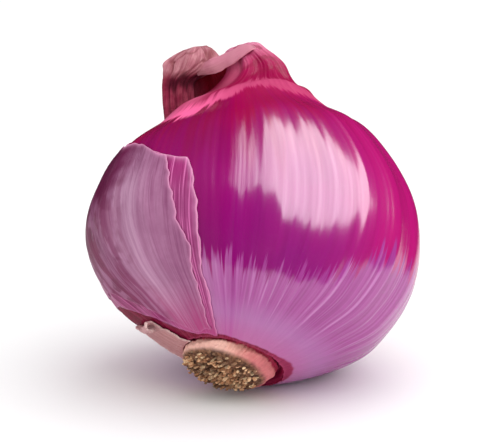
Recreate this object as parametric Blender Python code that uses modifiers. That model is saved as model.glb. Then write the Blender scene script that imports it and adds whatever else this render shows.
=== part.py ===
# A red onion, lying tilted on a small flat spot with its root end towards the front left.
# Units are metres and +Z is up. The origin is the middle of the flat spot, on the underside of the bulb.
#
# Each piece is first shaped round the bulb's own upright axis, with the neck at the top, the root end at the
# bottom and -Y towards the front. It is then bent with the bulb and leaned over into its resting pose.

import math
import random

import bmesh
import bpy
from mathutils import Matrix, Vector

# Driving dimensions of the bulb
BULB_WIDTH = 0.0640
HALF_WIDTH = BULB_WIDTH / 2
NECK_TIP_Z = 0.0375
SHOULDER_Z = 0.0272
ROOT_SEAT_Z = -0.0255
FLAT_DEPTH = 0.0013
SEAT_GAP = 0.00035

# Its resting pose, and the bend that carries the neck and the root end towards the same side
LEAN_RIGHT = math.radians(1.8)
LEAN_BACK = math.radians(33.3)
BEND_ANGLE = math.radians(31.4)
BEND_LENGTH = 0.056
BEND_TOWARDS = math.radians(208.8)

# Half outline of the bulb from the tip of its neck to the seat of its root plate, as radius and height
OUTLINE = [
    (0.0019, NECK_TIP_Z),
    (0.0029, 0.0369),
    (0.0036, 0.0351),
    (0.0045, 0.0333),
    (0.0058, 0.0314),
    (0.0075, 0.0297),
    (0.0097, 0.0284),
    (0.0130, SHOULDER_Z),
    (0.0176, 0.0233),
    (0.0243, 0.0181),
    (0.0293, 0.0101),
    (HALF_WIDTH, 0.0000),
    (0.0310, -0.0092),
    (0.0266, -0.0167),
    (0.0204, -0.0211),
    (0.0150, -0.0243),
    (0.0114, -0.0261),
    (0.0098, -0.0267),
    (0.0091, ROOT_SEAT_Z),
]
BULB_SEGMENTS = 84
BULB_RINGS = 42

# Lengthwise ribs of the bulb, as a count round it, a share of the radius and a phase; they fade at both ends
RIB_BOTTOM_Z = -0.0150
RIB_TOP_Z = 0.0150
RIB_TOP_FADE = 0.7
RIBS = [(9, 0.0050, 0.7), (15, 0.0044, 2.1), (21, 0.0034, 4.4)]

# How far the bulb is from round: oval across its axis, and fuller below on one side than on the other
OVAL = 0.0082
OVAL_ANGLE = math.radians(42.8)
SKEW = 0.0190
SKEW_ANGLE = math.radians(177.8)
SKEW_HEIGHT = 0.028

# Where its sides fall in, or swell out if less than nothing: share of the radius, angle, height and reach
FALLS = [
    (0.058, math.radians(-15.0), 0.0180, 0.0150),
    (-0.030, math.radians(190.0), 0.0190, 0.0110),
    (0.020, math.radians(15.0), -0.0165, 0.0100),
]

# The right shoulder stands lower than the left, by this much where it is far enough out and high enough
DIP = 0.0018
DIP_ACROSS = (0.0030, 0.0160)
DIP_HEIGHTS = (0.0150, 0.0250)

# The drawn-up neck: it stands to the right of the axis, flatter than wide, in folds
NECK_FOOT_Z = SHOULDER_Z - 0.0016
NECK_FORMED_Z = SHOULDER_Z + 0.0058
NECK_FOLDS = 7
NECK_FOLD_DEPTH = 0.09
NECK_FOLD_PHASE = 0.8
NECK_SHIFT = 0.0037
NECK_TIP_SHIFT = 0.0026
NECK_FLATNESS = 0.62

# Dry papery skin, loose on the left side of the bulb; its edges are given as place along and angle round,
# and its rag as waves of a count, a depth and a share of the seed
SKIN_GAP = 0.00035
SKIN_THICKNESS = 0.00070
SKIN_STEPS_ROUND = 30
SKIN_STEPS_DOWN = 24
SKIN_TOP = 0.415
SKIN_TOP_DROP = 0.155
SKIN_TOP_POWER = 2.2
SKIN_BOTTOM = 0.716
SKIN_BOTTOM_DROP = 0.192
SKIN_BOTTOM_SLOPE = (0.15, 0.85)
SKIN_FRONT_EDGE = [(0.40, 231.0), (0.50, 243.5), (0.62, 250.0), (0.88, 252.5)]
SKIN_BACK_EDGE = [(0.40, 108.0), (0.50, 112.0), (0.62, 126.0), (0.88, 142.0)]
SKIN_RAG_ROUND = 1.2
SKIN_RAG_DOWN = 0.006
SKIN_RAGS = [(9, 1.0, 1), (21, 0.6, 2), (33, 0.4, 1)]

# Scrap of skin that rolls back on itself beside the root end: the places along at which it starts beside the
# root plate and starts to roll, and the angles round of its two sides at both
CURL_START = 0.935
CURL_TURNS = (0.764, 0.830)
CURL_START_ANGLES = (154.0, 206.0)
CURL_TURN_ANGLES = (152.0, 188.0)
CURL_LYING_SHARE = 0.55
CURL_RADIUS = 0.0013
CURL_TIGHTENING = 0.25
CURL_SWEEP = math.radians(250.0)
CURL_THICKNESS = 0.0006
CURL_STEPS_ROUND = 10
CURL_STEPS_DOWN = 20

# Root plate with the stubs of its trimmed roots; its profile is in shares of its radius and height
PLATE_RADIUS = 0.0086
PLATE_HEIGHT = 0.0046
PLATE_GAP = 0.0003
PLATE_FALL = 0.25
PLATE_LEAN = 0.0020
PLATE_LEAN_ANGLE = math.radians(188.0)
PLATE_PROFILE = [
    (0.0, 0.0),
    (0.90, 0.0),
    (1.0, 0.20),
    (1.0, 0.48),
    (0.92, 0.76),
    (0.68, 0.92),
    (0.34, 1.0),
    (0.0, 1.0),
]
PLATE_SEGMENTS = 28
STUB_COUNT = 70
STUB_SIDES = 5
STUB_RADIUS = 0.00062
STUB_TAPER = 0.55
STUB_REACH = 0.83
STUB_JITTER = 0.25
STUB_LENGTHS = (0.0014, 0.0020)
STUB_SINK = 0.0009
STUB_SPLAY = math.radians(28.0)
GOLDEN_ANGLE = math.radians(137.508)

# Dried leaf bases on the left of the neck: centre x, y, z, half widths across and deep, lean of each ring
LEAF_RINGS = [
    (-0.0127, 0.0, 0.0250, 0.0031, 0.0033, -8.0),
    (-0.0126, 0.0, 0.0284, 0.0030, 0.0031, -4.0),
    (-0.0121, 0.0, 0.0314, 0.0029, 0.0030, 2.0),
    (-0.0112, -0.0002, 0.0336, 0.0033, 0.0033, 8.0),
    (-0.0091, -0.0004, 0.0352, 0.0046, 0.0039, 16.0),
    (-0.0078, -0.0004, 0.0369, 0.0053, 0.0040, 14.0),
    (-0.0069, -0.0002, 0.0386, 0.0042, 0.0033, 10.0),
    (-0.0062, 0.0, 0.0397, 0.0023, 0.0019, 8.0),
]
LEAF_SEGMENTS = 18
LEAF_FLUTES = 5
LEAF_FLUTE_DEPTH = 0.10
LEAF_TWIST = 0.35

# The sheath that closes the hollow behind the leaf bases: ends across, bulge to the back, and heights
SHEATH_ACROSS = (-0.0125, 0.0006)
SHEATH_BACK = 0.0009
SHEATH_BULGE = 0.0024
SHEATH_FOOT_Z = 0.0255
SHEATH_TOP_Z = 0.0380
SHEATH_TOP_DROP = 0.0014
SHEATH_THICKNESS = 0.0012
SHEATH_STEPS = 10


def blend_step(low, high, value):
    share = min(max((value - low) / (high - low), 0.0), 1.0)
    return share * share * (3 - 2 * share)


def curve_through(points, place):
    # A smooth curve through the points, read at a place from 0 at the first to 1 at the last
    spans = len(points) - 1
    start = min(int(place * spans), spans - 1)
    t = place * spans - start
    four = [points[min(max(start + k, 0), spans)] for k in (-1, 0, 1, 2)]
    weights = (
        (-t + 2 * t**2 - t**3) / 2,
        (2 - 5 * t**2 + 3 * t**3) / 2,
        (t + 4 * t**2 - 3 * t**3) / 2,
        (-(t**2) + t**3) / 2,
    )
    return [sum(w * p[axis] for w, p in zip(weights, four)) for axis in range(len(points[0]))]


def edge_angle(edge, place):
    # Angle of a torn edge at a place along the bulb, straight between its given points
    for (low, first), (high, last) in zip(edge, edge[1:]):
        if place <= high or high == edge[-1][0]:
            share = (place - low) / (high - low)
            return first + (last - first) * share
    return edge[-1][1]


def rib_swell(angle, height):
    # Share by which the ribs swell the radius, fading out at both ends of the bulb
    fade = blend_step(ROOT_SEAT_Z, RIB_BOTTOM_Z, height)
    fade *= 1 - RIB_TOP_FADE * blend_step(RIB_TOP_Z, SHOULDER_Z, height)
    ribs = fade * sum(depth * math.cos(count * angle + phase) for count, depth, phase in RIBS)
    oval = OVAL * math.cos(2 * (angle - OVAL_ANGLE))
    skew = SKEW * math.cos(angle - SKEW_ANGLE) * height / SKEW_HEIGHT
    fall = 0.0
    for depth, centre, middle, reach in FALLS:
        side = max(math.cos(angle - centre), 0.0) ** 2
        fall += depth * side * (1 - blend_step(0.0, reach, abs(height - middle)))
    return ribs + oval * fade + skew * fade - fall


def neck_shape(point):
    # Lowers the right shoulder, and folds, flattens and shifts the skin that is drawn up above it
    dip = DIP * blend_step(*DIP_ACROSS, point.x) * blend_step(*DIP_HEIGHTS, point.z)
    rise = blend_step(NECK_FOOT_Z, NECK_FORMED_Z, point.z)
    angle = math.atan2(point.y, point.x)
    to_tip = blend_step(NECK_FORMED_Z, NECK_TIP_Z, point.z)
    fold = 1 + NECK_FOLD_DEPTH * rise * math.cos(NECK_FOLDS * angle + NECK_FOLD_PHASE)
    shift = NECK_SHIFT * rise + (NECK_TIP_SHIFT - NECK_SHIFT) * to_tip
    flat = 1 + (NECK_FLATNESS - 1) * rise
    return Vector((point.x * fold + shift, point.y * fold * flat, point.z - dip))


def bent(point):
    # Bends a point with the bulb's axis, which curves to one side
    bend_radius = BEND_LENGTH / BEND_ANGLE
    side = Vector((math.cos(BEND_TOWARDS), math.sin(BEND_TOWARDS), 0))
    across = Vector((-side.y, side.x, 0))
    turn = point.z / bend_radius
    reach = bend_radius - point.dot(side)
    moved_side = bend_radius - reach * math.cos(turn)
    return side * moved_side + across * point.dot(across) + Vector((0, 0, reach * math.sin(turn)))


def bulb_shape(point):
    # Takes a point of the plain turned bulb to its place on the ribbed, bent one
    angle = math.atan2(point.y, point.x)
    swell = 1 + rib_swell(angle, point.z)
    return bent(neck_shape(Vector((point.x * swell, point.y * swell, point.z))))


def on_bulb(place, degrees, lift=0.0):
    # A point over the bulb's skin, before it is bent
    step = 0.002
    radius, height = curve_through(OUTLINE, place)
    radius_before, height_before = curve_through(OUTLINE, max(place - step, 0))
    radius_after, height_after = curve_through(OUTLINE, min(place + step, 1))
    down = Vector((radius_after - radius_before, height_after - height_before)).normalized()
    angle = math.radians(degrees)
    radius = radius * (1 + rib_swell(angle, height)) - down.y * lift
    return Vector((radius * math.cos(angle), radius * math.sin(angle), height + down.x * lift))


def new_collection(name):
    collection = bpy.data.collections.new(name)
    bpy.context.scene.collection.children.link(collection)
    return collection


def material(name, colour, roughness):
    made = bpy.data.materials.new(name)
    made.use_nodes = True
    shader = made.node_tree.nodes["Principled BSDF"]
    shader.inputs["Base Color"].default_value = (*colour, 1.0)
    shader.inputs["Roughness"].default_value = roughness
    shader.inputs["Metallic"].default_value = 0.0
    return made


def add_object(name, mesh, collection, parent=None, finish=None):
    piece = bpy.data.objects.new(name, mesh)
    collection.objects.link(piece)
    piece.parent = parent
    if finish:
        mesh.materials.clear()
        mesh.materials.append(finish)
    mesh.shade_smooth()
    mesh.set_sharp_from_angle(angle=math.radians(40))
    return piece


def add_cutter(cutter, cutters):
    cutters.objects.link(cutter)
    cutter.hide_render = True
    cutter.display_type = "WIRE"
    return cutter


def cut_away(piece, cutter):
    cut = piece.modifiers.new("cut", "BOOLEAN")
    cut.operation = "DIFFERENCE"
    cut.solver = "EXACT"
    cut.object = cutter


def turned_mesh(name, profile, segments):
    # A closed mesh turned from a profile that runs down its outer side, from axis to axis
    mesh = bpy.data.meshes.new(name + "_profile")
    edges = [(k, k + 1) for k in range(len(profile) - 1)]
    mesh.from_pydata([(radius, 0, height) for radius, height in profile], edges, [])
    turned = bpy.data.objects.new(name + "_profile", mesh)
    bpy.context.scene.collection.objects.link(turned)
    screw = turned.modifiers.new("turn", "SCREW")
    screw.steps = segments
    screw.render_steps = segments
    screw.use_merge_vertices = True
    screw.merge_threshold = 0.00001
    graph = bpy.context.evaluated_depsgraph_get()
    solid = bpy.data.meshes.new_from_object(turned.evaluated_get(graph))
    solid.name = name
    bpy.data.objects.remove(turned)
    bpy.data.meshes.remove(mesh)
    return solid


def moved(mesh, shape):
    for vertex in mesh.vertices:
        vertex.co = shape(vertex.co.copy())
    return mesh


def sheet_mesh(name, across, down, shape):
    # An open sheet of across by down faces, shaped from its two shares, each from 0 to 1
    work = bmesh.new()
    bmesh.ops.create_grid(work, x_segments=across, y_segments=down, size=0.5)
    for vertex in work.verts:
        vertex.co = shape(vertex.co.x + 0.5, vertex.co.y + 0.5)
    mesh = bpy.data.meshes.new(name)
    work.to_mesh(mesh)
    work.free()
    return mesh


def thicken(piece, thickness):
    solidify = piece.modifiers.new("thickness", "SOLIDIFY")
    solidify.thickness = thickness
    solidify.offset = 1.0
    solidify.use_rim = True


def flat_middle(mesh, pose):
    # The flat spot's level above the posed bulb's lowest point, and the middle of the area of its section there
    posed = [pose @ vertex.co for vertex in mesh.vertices]
    level = min(point.z for point in posed) + FLAT_DEPTH
    crossings = []
    for edge in mesh.edges:
        first, last = (posed[index] for index in edge.vertices)
        if (first.z - level) * (last.z - level) < 0:
            crossings.append(first.lerp(last, (level - first.z) / (last.z - first.z)))
    inside = sum(crossings, Vector()) / len(crossings)
    crossings.sort(key=lambda point: math.atan2(point.y - inside.y, point.x - inside.x))
    area = 0.0
    middle = Vector()
    for first, last in zip(crossings, crossings[1:] + crossings[:1]):
        slice_area = (first - inside).cross(last - inside).z / 2
        area += slice_area
        middle += (inside + first + last) / 3 * slice_area
    middle /= area
    return Vector((middle.x, middle.y, level))


def make_bulb(collection, cutters):
    # The bulb is turned, ribbed, drawn up at the neck and bent, and the floor level then cuts its flat spot
    places = [ring / BULB_RINGS for ring in range(BULB_RINGS + 1)]
    outer = [tuple(curve_through(OUTLINE, place)) for place in places]
    profile = [(0.0, NECK_TIP_Z), *outer, (0.0, ROOT_SEAT_Z)]
    mesh = moved(turned_mesh("bulb", profile, BULB_SEGMENTS), bulb_shape)
    pose = Matrix.Rotation(-LEAN_BACK, 4, "X") @ Matrix.Rotation(LEAN_RIGHT, 4, "Y")
    axis = bpy.data.objects.new("bulb_axis", None)
    collection.objects.link(axis)
    axis.matrix_world = Matrix.Translation(-flat_middle(mesh, pose)) @ pose
    bulb = add_object("bulb", mesh, collection, axis, material("magenta_skin", (0.30, 0.006, 0.12), 0.28))

    swollen = mesh.copy()
    for vertex, plain in zip(swollen.vertices, mesh.vertices):
        vertex.co = plain.co + plain.normal * SEAT_GAP
    add_cutter(bpy.data.objects.new("seat_cutter", swollen), cutters).parent = axis

    bpy.ops.mesh.primitive_cube_add(size=BULB_WIDTH, location=(0, 0, -HALF_WIDTH))
    floor = bpy.context.object
    floor.name = "floor_cutter"
    for owner in floor.users_collection:
        owner.objects.unlink(floor)
    cut_away(bulb, add_cutter(floor, cutters))
    return axis


def make_papery_skin(collection, axis):
    # A torn sheet that follows the bulb's ribs just clear of them
    def rag(share, seed):
        return sum(depth * math.sin(count * share + part * seed) for count, depth, part in SKIN_RAGS)

    def shape(round_share, down_share):
        top = SKIN_TOP + SKIN_RAG_DOWN * rag(round_share, 1.3) + SKIN_TOP_DROP * round_share**SKIN_TOP_POWER
        drop = SKIN_BOTTOM_DROP * blend_step(*SKIN_BOTTOM_SLOPE, round_share)
        bottom = SKIN_BOTTOM + SKIN_RAG_DOWN * rag(round_share, 4.0) + drop
        place = top + (bottom - top) * down_share
        front = edge_angle(SKIN_FRONT_EDGE, place) + SKIN_RAG_ROUND * rag(down_share, 0.4)
        back = edge_angle(SKIN_BACK_EDGE, place) + SKIN_RAG_ROUND * rag(down_share, 2.9)
        return bent(on_bulb(place, back + (front - back) * round_share, SKIN_GAP))

    mesh = sheet_mesh("papery_skin", SKIN_STEPS_ROUND, SKIN_STEPS_DOWN, shape)
    mesh.flip_normals()
    finish = material("papery_skin", (0.42, 0.17, 0.28), 0.60)
    thicken(add_object("papery_skin", mesh, collection, axis, finish), SKIN_THICKNESS)


def make_skin_curl(collection, axis):
    # A strip that lies on the bulb from the root plate outwards, and then rolls up and back
    def shape(round_share, down_share):
        lying = min(down_share / CURL_LYING_SHARE, 1.0)
        sides = [start + (turn - start) * lying for start, turn in zip(CURL_START_ANGLES, CURL_TURN_ANGLES)]
        degrees = sides[0] + (sides[1] - sides[0]) * round_share
        turn_place = CURL_TURNS[0] + (CURL_TURNS[1] - CURL_TURNS[0]) * round_share
        if lying < 1.0:
            place = CURL_START + (turn_place - CURL_START) * lying
            return bent(on_bulb(place, degrees, SKIN_GAP))
        rolled = (down_share - CURL_LYING_SHARE) / (1 - CURL_LYING_SHARE)
        turn = CURL_SWEEP * rolled
        radius = CURL_RADIUS * (1 - CURL_TIGHTENING * rolled)
        foot = on_bulb(turn_place, degrees, SKIN_GAP)
        out = (on_bulb(turn_place, degrees, SKIN_GAP + 0.001) - foot).normalized()
        along = (foot - on_bulb(turn_place + 0.01, degrees, SKIN_GAP)).normalized()
        return bent(foot + along * radius * math.sin(turn) + out * radius * (1 - math.cos(turn)))

    mesh = sheet_mesh("skin_curl", CURL_STEPS_ROUND, CURL_STEPS_DOWN, shape)
    finish = material("curled_skin", (0.52, 0.24, 0.24), 0.62)
    thicken(add_object("skin_curl", mesh, collection, axis, finish), CURL_THICKNESS)


def plate_shape(point):
    # Slides the outer face of the plate to the left over its seat, and bends it with the bulb
    slide = PLATE_LEAN * (ROOT_SEAT_Z - PLATE_GAP - point.z) / PLATE_HEIGHT
    offset = Vector((math.cos(PLATE_LEAN_ANGLE), math.sin(PLATE_LEAN_ANGLE), 0)) * slide
    return bent(point + offset)


def make_root_plate(collection, axis):
    # A low domed disc in its seat, with short root stubs set in rings by the golden angle
    top = ROOT_SEAT_Z - PLATE_GAP
    profile = [(PLATE_RADIUS * across, top - PLATE_HEIGHT * drop) for across, drop in PLATE_PROFILE]
    mesh = moved(turned_mesh("root_plate", profile, PLATE_SEGMENTS), plate_shape)
    plate = add_object("root_plate", mesh, collection, axis, material("dry_root", (0.46, 0.26, 0.13), 0.85))

    draw = random.Random(7)
    stubs = new_collection("root_stubs")
    for k in range(STUB_COUNT):
        share = math.sqrt((k + 0.5) / STUB_COUNT)
        angle = k * GOLDEN_ANGLE + draw.uniform(-STUB_JITTER, STUB_JITTER)
        radius = PLATE_RADIUS * STUB_REACH * share
        length = draw.uniform(*STUB_LENGTHS)
        splay = STUB_SPLAY * share + draw.uniform(-STUB_JITTER, STUB_JITTER)
        work = bmesh.new()
        bmesh.ops.create_cone(
            work,
            cap_ends=True,
            segments=STUB_SIDES,
            radius1=STUB_RADIUS * STUB_TAPER,
            radius2=STUB_RADIUS,
            depth=length,
        )
        surface = top - PLATE_HEIGHT * (1 - PLATE_FALL * share**5)
        lay = Matrix.Translation((radius * math.cos(angle), radius * math.sin(angle), surface + STUB_SINK))
        turn = Matrix.Rotation(angle, 4, "Z") @ Matrix.Rotation(-splay, 4, "Y")
        work.transform(lay @ turn @ Matrix.Translation((0, 0, -length / 2)))
        stub_mesh = bpy.data.meshes.new("root_stub")
        work.to_mesh(stub_mesh)
        work.free()
        add_object("root_stub", moved(stub_mesh, plate_shape), stubs, axis)
    join_collection(plate, stubs)


def join_collection(piece, collection):
    # Joins every object of the collection to the piece by one union, and then removes them
    union = piece.modifiers.new("union", "BOOLEAN")
    union.operation = "UNION"
    union.operand_type = "COLLECTION"
    union.solver = "EXACT"
    union.collection = collection
    graph = bpy.context.evaluated_depsgraph_get()
    joined = bpy.data.meshes.new_from_object(piece.evaluated_get(graph))
    piece.modifiers.remove(union)
    piece.data = joined
    for stub in list(collection.objects):
        bpy.data.objects.remove(stub)
    bpy.data.collections.remove(collection)


def sheath_shape(across_share, up_share):
    # A wall that bulges to the back, from the leaf bases over to the drawn-up neck
    x = SHEATH_ACROSS[0] + (SHEATH_ACROSS[1] - SHEATH_ACROSS[0]) * across_share
    y = SHEATH_BACK + SHEATH_BULGE * math.sin(math.pi * across_share)
    top = SHEATH_TOP_Z - SHEATH_TOP_DROP * across_share**2
    return bent(Vector((x, y, SHEATH_FOOT_Z + (top - SHEATH_FOOT_Z) * up_share)))


def make_neck_stub(collection, cutters, axis):
    # Leaf bases lofted through their rings, from a narrow stem to a cap that overhangs on the right, joined
    # with the sheath behind them
    work = bmesh.new()
    rings = []
    for index, (x, y, z, across, deep, lean) in enumerate(LEAF_RINGS):
        tilt = Matrix.Rotation(math.radians(lean), 3, "Y")
        ring = []
        for k in range(LEAF_SEGMENTS):
            angle = 2 * math.pi * k / LEAF_SEGMENTS
            flute = 1 + LEAF_FLUTE_DEPTH * math.cos(LEAF_FLUTES * angle + LEAF_TWIST * index)
            offset = Vector((across * math.cos(angle), deep * math.sin(angle), 0)) * flute
            ring.append(work.verts.new(bent(Vector((x, y, z)) + tilt @ offset)))
        rings.append(ring)
    for low, high in zip(rings, rings[1:]):
        for k in range(LEAF_SEGMENTS):
            after = (k + 1) % LEAF_SEGMENTS
            work.faces.new((low[k], low[after], high[after], high[k]))
    work.faces.new(reversed(rings[0]))
    work.faces.new(rings[-1])
    mesh = bpy.data.meshes.new("neck_stub")
    work.to_mesh(mesh)
    work.free()
    stub = add_object("neck_stub", mesh, collection, axis, material("dry_leaf", (0.50, 0.24, 0.25), 0.75))

    sheaths = new_collection("sheaths")
    sheath_mesh = sheet_mesh("neck_sheath", SHEATH_STEPS, SHEATH_STEPS, sheath_shape)
    thicken(add_object("neck_sheath", sheath_mesh, sheaths, axis), SHEATH_THICKNESS)
    join_collection(stub, sheaths)
    cut_away(stub, cutters.objects["seat_cutter"])


def main():
    for obj in list(bpy.data.objects):
        bpy.data.objects.remove(obj, do_unlink=True)
    onion = new_collection("red_onion")
    cutters = new_collection("cutters")
    axis = make_bulb(onion, cutters)
    bpy.context.view_layer.update()
    make_papery_skin(onion, axis)
    make_skin_curl(onion, axis)
    make_root_plate(onion, axis)
    make_neck_stub(onion, cutters, axis)


main()
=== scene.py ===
# A red onion on a white table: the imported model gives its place, and finer skins, neck and roots dress it.
# Metres, +Z up, -Y towards the camera. Pieces are shaped round the bulb's own upright axis and then bent,
# leaned over and set down just as the solids are.
import math

import bmesh
import bpy
import numpy as np
from mathutils import Matrix, Vector


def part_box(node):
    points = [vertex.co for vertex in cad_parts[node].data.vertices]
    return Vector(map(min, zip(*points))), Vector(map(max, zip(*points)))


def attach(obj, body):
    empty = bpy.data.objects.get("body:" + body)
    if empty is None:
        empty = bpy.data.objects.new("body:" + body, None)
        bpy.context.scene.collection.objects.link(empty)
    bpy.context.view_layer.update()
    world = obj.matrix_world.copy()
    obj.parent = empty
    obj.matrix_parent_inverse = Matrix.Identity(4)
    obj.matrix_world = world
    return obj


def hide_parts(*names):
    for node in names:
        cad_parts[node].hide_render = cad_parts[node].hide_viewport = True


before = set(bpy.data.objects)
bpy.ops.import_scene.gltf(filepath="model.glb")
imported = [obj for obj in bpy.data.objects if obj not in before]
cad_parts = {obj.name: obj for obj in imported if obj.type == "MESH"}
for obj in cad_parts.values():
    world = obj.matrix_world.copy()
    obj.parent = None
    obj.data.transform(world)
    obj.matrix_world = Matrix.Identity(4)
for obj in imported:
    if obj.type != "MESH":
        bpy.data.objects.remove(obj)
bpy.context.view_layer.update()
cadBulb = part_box("bulb")

# The bulb's form, as in the solids: half outline as radius and height, from the neck's tip to the root seat
form = {
    "outline": [
        (0.0019, 0.0375), (0.0029, 0.0369), (0.0036, 0.0351), (0.0045, 0.0333), (0.0058, 0.0314),
        (0.0075, 0.0297), (0.0097, 0.0284), (0.013, 0.0272), (0.0176, 0.0233), (0.0243, 0.0181),
        (0.0293, 0.0101), (0.032, 0.0), (0.031, -0.0092), (0.0266, -0.0167), (0.0204, -0.0211),
        (0.015, -0.0243), (0.0114, -0.0261), (0.0098, -0.0267), (0.0091, -0.0255),
    ],
    "tip": 0.0375,
    "shoulder": 0.0272,
    "rootSeat": -0.0255,
    "ribs": [(9, 0.005, 0.7), (15, 0.0044, 2.1), (21, 0.0034, 4.4)],  # count, depth, phase
    "ribBottom": -0.015,
    "ribTop": 0.015,
    "ribTopFade": 0.7,
    "oval": (0.0082, math.radians(42.8)),
    "skew": (0.019, math.radians(177.8), 0.028),
    "falls": [  # share of the radius, angle, height and reach
        (0.058, math.radians(-15.0), 0.018, 0.015),
        (-0.03, math.radians(190.0), 0.019, 0.011),
        (0.02, math.radians(15.0), -0.0165, 0.01),
    ],
    "dip": (0.0018, (0.003, 0.016), (0.015, 0.025)),  # of the right shoulder: depth, across and heights
    "neckFoot": 0.0256,
    "neckFormed": 0.033,
    "neckFolds": (7, 0.09, 0.8),
    "neckShift": (0.0037, 0.0026),  # at its foot and at its tip
    "neckFlatness": 0.62,
    "leanRight": math.radians(1.8),
    "leanBack": math.radians(33.3),
    "bendAngle": math.radians(31.4),
    "bendLength": 0.056,
    "bendTowards": math.radians(208.8),
}


def blendStep(low, high, value):
    share = np.clip((value - low) / (high - low), 0.0, 1.0)
    return share * share * (3 - 2 * share)


def between(ends, share):
    return ends[0] + (ends[1] - ends[0]) * share


def unit(vectors):
    return vectors / np.linalg.norm(vectors, axis=-1, keepdims=True)


def turned(radius, angle, height):  # points round the upright axis
    return np.stack([radius * np.cos(angle), radius * np.sin(angle), height], -1)


def bump(angle, centre, width):  # a soft hill round the axis, angles in degrees
    away = (angle - centre + 180.0) % 360.0 - 180.0
    return np.exp(-((away / width) ** 2))


def curveThrough(points, place):  # smooth curve through the points, place runs from 0 to 1
    points = np.array(points, float)
    place = np.asarray(place, float)
    spans = len(points) - 1
    start = np.clip((place * spans).astype(int), 0, spans - 1)
    t = (place * spans - start)[..., None]
    four = [points[np.clip(start + k, 0, spans)] for k in (-1, 0, 1, 2)]
    weights = (-t + 2 * t**2 - t**3, 2 - 5 * t**2 + 3 * t**3, t + 4 * t**2 - 3 * t**3, -(t**2) + t**3)
    return sum(w * p for w, p in zip(weights, four)) / 2


def ribSwell(angle, height):
    fade = blendStep(form["rootSeat"], form["ribBottom"], height)
    fade = fade * (1 - form["ribTopFade"] * blendStep(form["ribTop"], form["shoulder"], height))
    ribs = sum(depth * np.cos(count * angle + phase) for count, depth, phase in form["ribs"])
    oval = form["oval"][0] * np.cos(2 * (angle - form["oval"][1]))
    skew = form["skew"][0] * np.cos(angle - form["skew"][1]) * height / form["skew"][2]
    swell = fade * (ribs + oval + skew)
    for depth, centre, middle, reach in form["falls"]:
        near = 1 - blendStep(0.0, reach, np.abs(height - middle))
        swell = swell - depth * near * np.maximum(np.cos(angle - centre), 0.0) ** 2
    return swell


def neckShape(points):  # lowers the right shoulder, and folds, flattens and shifts what stands above it
    x, y, z = (points[..., k] for k in range(3))
    depth, across, heights = form["dip"]
    dip = depth * blendStep(*across, x) * blendStep(*heights, z)
    rise = blendStep(form["neckFoot"], form["neckFormed"], z)
    toTip = blendStep(form["neckFormed"], form["tip"], z)
    count, depth, phase = form["neckFolds"]
    fold = 1 + depth * rise * np.cos(count * np.arctan2(y, x) + phase)
    foot, tip = form["neckShift"]
    flat = 1 + (form["neckFlatness"] - 1) * rise
    return np.stack([x * fold + foot * rise + (tip - foot) * toTip, y * fold * flat, z - dip], -1)


def bent(points):  # bends points with the bulb's axis
    radius = form["bendLength"] / form["bendAngle"]
    side = turned(1, form["bendTowards"], 0)
    across = np.array([-side[1], side[0], 0.0])
    turn = points[..., 2] / radius
    reach = radius - points @ side
    moved = (radius - reach * np.cos(turn))[..., None] * side + (points @ across)[..., None] * across
    return moved + (reach * np.sin(turn))[..., None] * (0, 0, 1)


pose = Matrix.Rotation(-form["leanBack"], 3, "X") @ Matrix.Rotation(form["leanRight"], 3, "Y")
pose = np.array(pose)


def onBulb(place, degrees, lift=0.0):  # points over the bulb's skin, before they are bent
    step = 0.002
    place, degrees, lift = np.broadcast_arrays(place, degrees, lift)
    here = curveThrough(form["outline"], place)
    before = curveThrough(form["outline"], np.maximum(place - step, 0))
    after = curveThrough(form["outline"], np.minimum(place + step, 1))
    down = unit(after - before)
    angle = np.radians(degrees)
    radius = here[..., 0] * (1 + ribSwell(angle, here[..., 1])) - down[..., 1] * lift
    return turned(radius, angle, here[..., 1] + down[..., 0] * lift)


def setDown():  # brings the leaned bulb to where the CAD bulb is: mid across and deep, and level at the top
    place, degrees = np.meshgrid(np.linspace(0, 1, 120), np.linspace(0, 360, 240), indexing="ij")
    leaned = bent(neckShape(onBulb(place, degrees))) @ pose.T
    low, high = leaned.min((0, 1)), leaned.max((0, 1))
    move = (np.array(cadBulb[0]) + np.array(cadBulb[1]) - low - high) / 2
    move[2] = cadBulb[1][2] - high[2]
    return move


bulbMove = setDown()


def inPlace(points):  # from the bulb's own upright frame to the table
    return bent(points) @ pose.T + bulbMove


# Meshes
def sheetGrid(rows, columns):  # shares down and across a sheet
    return np.meshgrid(np.linspace(0, 1, rows), np.linspace(0, 1, columns), indexing="ij")


def roundGrid(rows, columns):  # share down and degrees round a turned form
    return np.meshgrid(np.linspace(0, 1, rows), np.arange(columns) * 360.0 / columns, indexing="ij")


def gridFaces(rows, columns, wrap):
    index = np.arange(rows * columns).reshape(rows, columns)
    if wrap:
        index = np.concatenate([index, index[:, :1]], 1)
    corners = [index[:-1, :-1], index[:-1, 1:], index[1:, 1:], index[1:, :-1]]
    return np.stack(corners, -1).reshape(-1, 4)


def cappedFaces(rows, columns):  # a wrapped grid, closed on two points that come after its own
    count = rows * columns
    last = count - columns
    pairs = [(k, (k + 1) % columns) for k in range(columns)]
    faces = list(gridFaces(rows, columns, True)) + [(count, b, a) for a, b in pairs]
    return faces + [(count + 1, a + last, b + last) for a, b in pairs]


def withEnds(value, first=0.0, last=0.0):  # a capped grid's values, with those of its two end points
    value = np.asarray(value, float)
    return np.concatenate([value.reshape((-1, 3) if value.ndim > 2 else -1), [first, last]])


def placed(name, data):
    made = bpy.data.objects.new(name, data)
    bpy.context.scene.collection.objects.link(made)
    return made


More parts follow.
